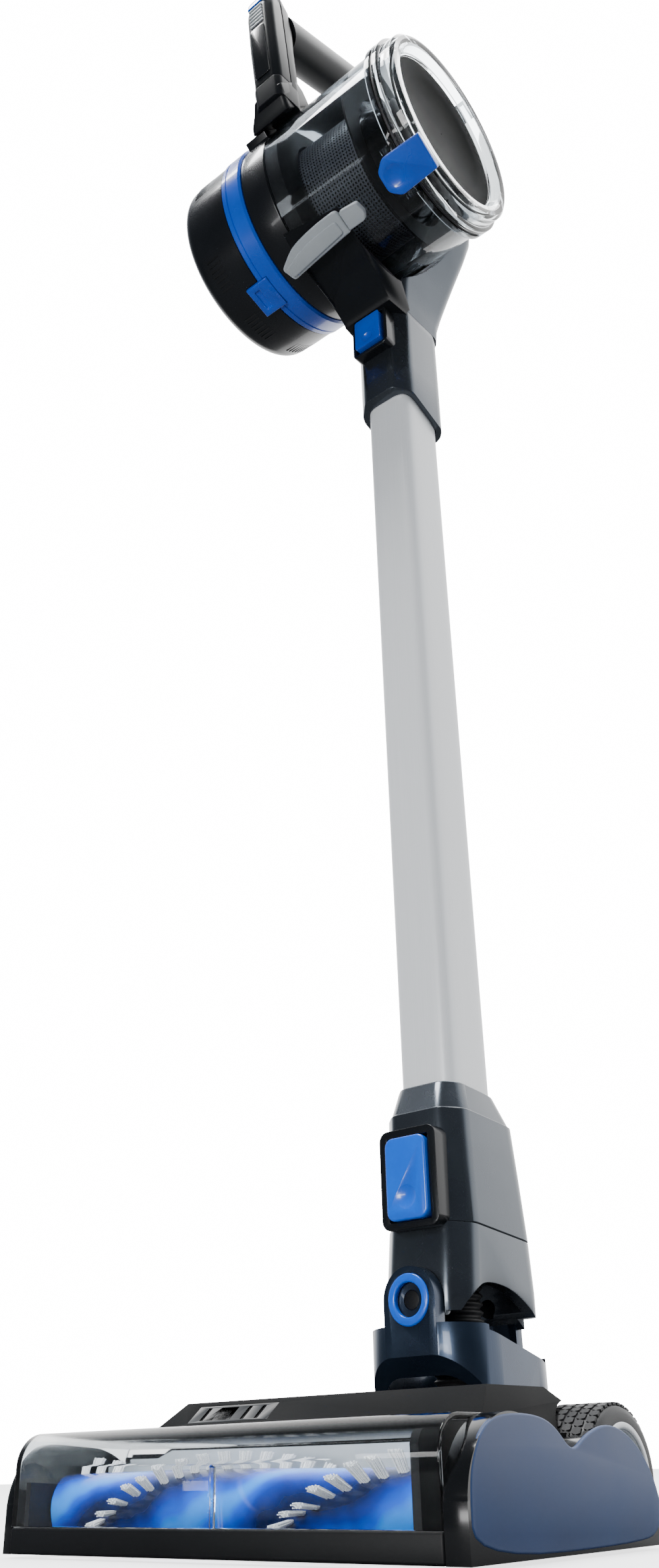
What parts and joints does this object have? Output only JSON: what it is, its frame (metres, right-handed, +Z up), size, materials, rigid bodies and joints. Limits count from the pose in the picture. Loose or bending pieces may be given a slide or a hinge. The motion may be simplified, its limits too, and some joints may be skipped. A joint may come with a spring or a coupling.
{
  "type": "cordless stick vacuum cleaner",
  "caption": "Upright cordless stick vacuum: clear-hooded powered floor head, tilting and swivelling neck, straight wand and hand unit with a transverse clear dust cup.",
  "frame": {"origin": "centre of the footprint at floor level", "axes": "+Z up along the wand, -Y towards the front of the floor head, +X to the drive side"},
  "size_m": [0.256, 0.23, 1.1347],
  "materials": {
    "housing_black": "fine moulded texture, charcoal black",
    "housing_gloss": "polished charcoal",
    "clear_plastic": "clear polycarbonate",
    "slate_blue": "satin slate blue",
    "accent_blue": "saturated blue moulding",
    "button_blue": "bright blue moulding",
    "lever_grey": "light grey moulding",
    "wand_silver": "satin painted aluminium",
    "steel": "ground steel",
    "brass": "turned",
    "rubber": "soft black rubber",
    "tyre": "treaded soft tyre",
    "bristle": "white nylon tufts",
    "filter_media": "pleated filter paper",
    "motor_metal": "zinc-plated can",
    "board_green": "circuit board",
    "battery": "charcoal moulding"
  },
  "bodies": {
    "floor_head": {"head_base": "housing_black", "head_hood": "clear_plastic", "top_cover": "housing_gloss", "cover_inlay": "housing_black", "end_cap_right": "slate_blue", "end_cap_left": "slate_blue", "bumper_strip": "housing_black", "rear_squeegee": "rubber", "brush_bushes": "brass", "brush_motor": "motor_metal", "drive_belt": "rubber", "head_duct": "housing_black", "wheel_axles": "steel", "tilt_pins": "steel", "screws": "steel"},
    "brush": {"brush_core": "accent_blue", "brush_bristles": "bristle", "brush_pulley": "steel"},
    "motor_shaft": {"motor_pulley": "brass"},
    "left_wheel": {"wheel_left": "lever_grey", "tyre_left": "tyre"},
    "right_wheel": {"wheel_right": "lever_grey", "tyre_right": "tyre"},
    "rollers": {"front_rollers": "rubber"},
    "yoke": {"yoke": "housing_gloss", "swivel_pins": "steel", "swivel_ring": "accent_blue", "hose": "rubber"},
    "neck": {"neck_lower": "housing_black", "neck_collar": "housing_gloss", "neck_spring": "steel"},
    "neck_release": {"neck_button": "button_blue"},
    "wand": {"wand_tube": "wand_silver", "wand_contacts": "housing_black"},
    "hand_unit": {"socket_housing": "housing_gloss", "wand_spring": "steel", "main_frame": "housing_gloss", "motor_housing": "housing_black", "suction_motor": "motor_metal", "shroud": "housing_black", "cyclone_cone": "housing_black", "lever_pin": "steel", "handle": "housing_black", "control_board": "board_green"},
    "wand_release": {"wand_button": "button_blue"},
    "fan": {"impeller": "steel"},
    "cup": {"cup_shell": "clear_plastic", "door_pin": "steel"},
    "door": {"cup_door": "clear_plastic", "door_seal": "rubber"},
    "latch": {"door_latch": "accent_blue"},
    "lever": {"cup_lever": "lever_grey"},
    "filter": {"filter_ring": "accent_blue", "filter": "filter_media"},
    "cap": {"rear_cap": "housing_black"},
    "cap_catch": {"cap_latch": "accent_blue"},
    "battery": {"battery_pack": "battery"},
    "battery_release": {"battery_button": "accent_blue"},
    "power": {"power_button": "button_blue"},
    "mode": {"mode_button": "housing_gloss"}
  },
  "joints": [
    {"name": "brush_spin", "type": "hinge", "parent": "floor_head", "child": "brush", "pos_m": [0, -0.0883, 0.0213], "axis": [1, 0, 0], "continuous": true},
    {"name": "motor_spin", "type": "hinge", "parent": "floor_head", "child": "motor_shaft", "pos_m": [0, -0.0338, 0.024], "axis": [1, 0, 0], "continuous": true},
    {"name": "left_wheel_spin", "type": "hinge", "parent": "floor_head", "child": "left_wheel", "pos_m": [-0.1, 0.021, 0.028], "axis": [1, 0, 0], "continuous": true},
    {"name": "right_wheel_spin", "type": "hinge", "parent": "floor_head", "child": "right_wheel", "pos_m": [0.1, 0.021, 0.028], "axis": [1, 0, 0], "continuous": true},
    {"name": "roller_spin", "type": "hinge", "parent": "floor_head", "child": "rollers", "pos_m": [0, -0.0528, 0.0063], "axis": [1, 0, 0], "continuous": true},
    {"name": "neck_tilt", "type": "hinge", "parent": "floor_head", "child": "yoke", "pos_m": [0, 0.05, 0.04], "axis": [-1, 0, 0], "range_deg": [0, 65], "deforming": ["hose"]},
    {"name": "neck_swivel", "type": "hinge", "parent": "yoke", "child": "neck", "pos_m": [0, 0.072, 0.109], "axis": [0, 1, 0], "range_deg": [-40, 40], "deforming": ["hose"]},
    {"name": "neck_button_press", "type": "slide", "parent": "neck", "child": "neck_release", "axis": [0, 1, 0], "range_m": [0, 0.003], "stiffness_N_per_m": 400, "deforming": ["neck_spring"]},
    {"name": "wand_lift", "type": "slide", "parent": "neck", "child": "wand", "axis": [0, 0, 1], "range_m": [0, 0.1]},
    {"name": "hand_unit_lift", "type": "slide", "parent": "wand", "child": "hand_unit", "axis": [0, 0, 1], "range_m": [0, 0.05]},
    {"name": "wand_button_press", "type": "slide", "parent": "hand_unit", "child": "wand_release", "axis": [0, 1, 0], "range_m": [0, 0.003], "stiffness_N_per_m": 400, "deforming": ["wand_spring"]},
    {"name": "fan_spin", "type": "hinge", "parent": "hand_unit", "child": "fan", "pos_m": [0, 0.005, 0.928], "axis": [1, 0, 0], "continuous": true},
    {"name": "cup_pull", "type": "slide", "parent": "hand_unit", "child": "cup", "axis": [1, 0, 0], "range_m": [0, 0.13]},
    {"name": "door_open", "type": "hinge", "parent": "cup", "child": "door", "pos_m": [0.088, 0.04475, 0.99972], "axis": [0, -0.8746, 0.4848], "range_deg": [0, 100]},
    {"name": "latch_press", "type": "hinge", "parent": "cup", "child": "latch", "pos_m": [0.085, -0.03354, 0.85847], "axis": [0, 0.8746, -0.4848], "range_deg": [0, 10], "stiffness_Nm_per_rad": 0.3},
    {"name": "lever_press", "type": "hinge", "parent": "hand_unit", "child": "lever", "pos_m": [0.019, -0.02957, 0.85035], "axis": [0, 0.9135, -0.4067], "range_deg": [0, 4], "stiffness_Nm_per_rad": 0.6},
    {"name": "cap_pull", "type": "slide", "parent": "hand_unit", "child": "cap", "axis": [-1, 0, 0], "range_m": [0, 0.11]},
    {"name": "filter_pull", "type": "slide", "parent": "hand_unit", "child": "filter", "axis": [-1, 0, 0], "range_m": [0, 0.055]},
    {"name": "cap_catch_press", "type": "slide", "parent": "cap", "child": "cap_catch", "axis": [0, 0.2756, 0.9613], "range_m": [0, 0.0015], "stiffness_N_per_m": 400},
    {"name": "battery_slide", "type": "slide", "parent": "hand_unit", "child": "battery", "axis": [0, -0.1305, 0.9914], "range_m": [0, 0.09]},
    {"name": "battery_button_press", "type": "slide", "parent": "battery", "child": "battery_release", "axis": [0, 0.1305, -0.9914], "range_m": [0, 0.0025], "stiffness_N_per_m": 400},
    {"name": "power_press", "type": "slide", "parent": "hand_unit", "child": "power", "axis": [0, 0.3907, -0.9205], "range_m": [0, 0.0015], "stiffness_N_per_m": 400},
    {"name": "mode_press", "type": "slide", "parent": "hand_unit", "child": "mode", "axis": [0, 0.3907, -0.9205], "range_m": [0, 0.0015], "stiffness_N_per_m": 400}
  ],
  "couplings": [
    {"joint": "motor_spin", "follows": "brush_spin", "ratio": 1.5},
    {"joint": "filter_pull", "follows": "cap_pull", "ratio": 0.5}
  ]
}
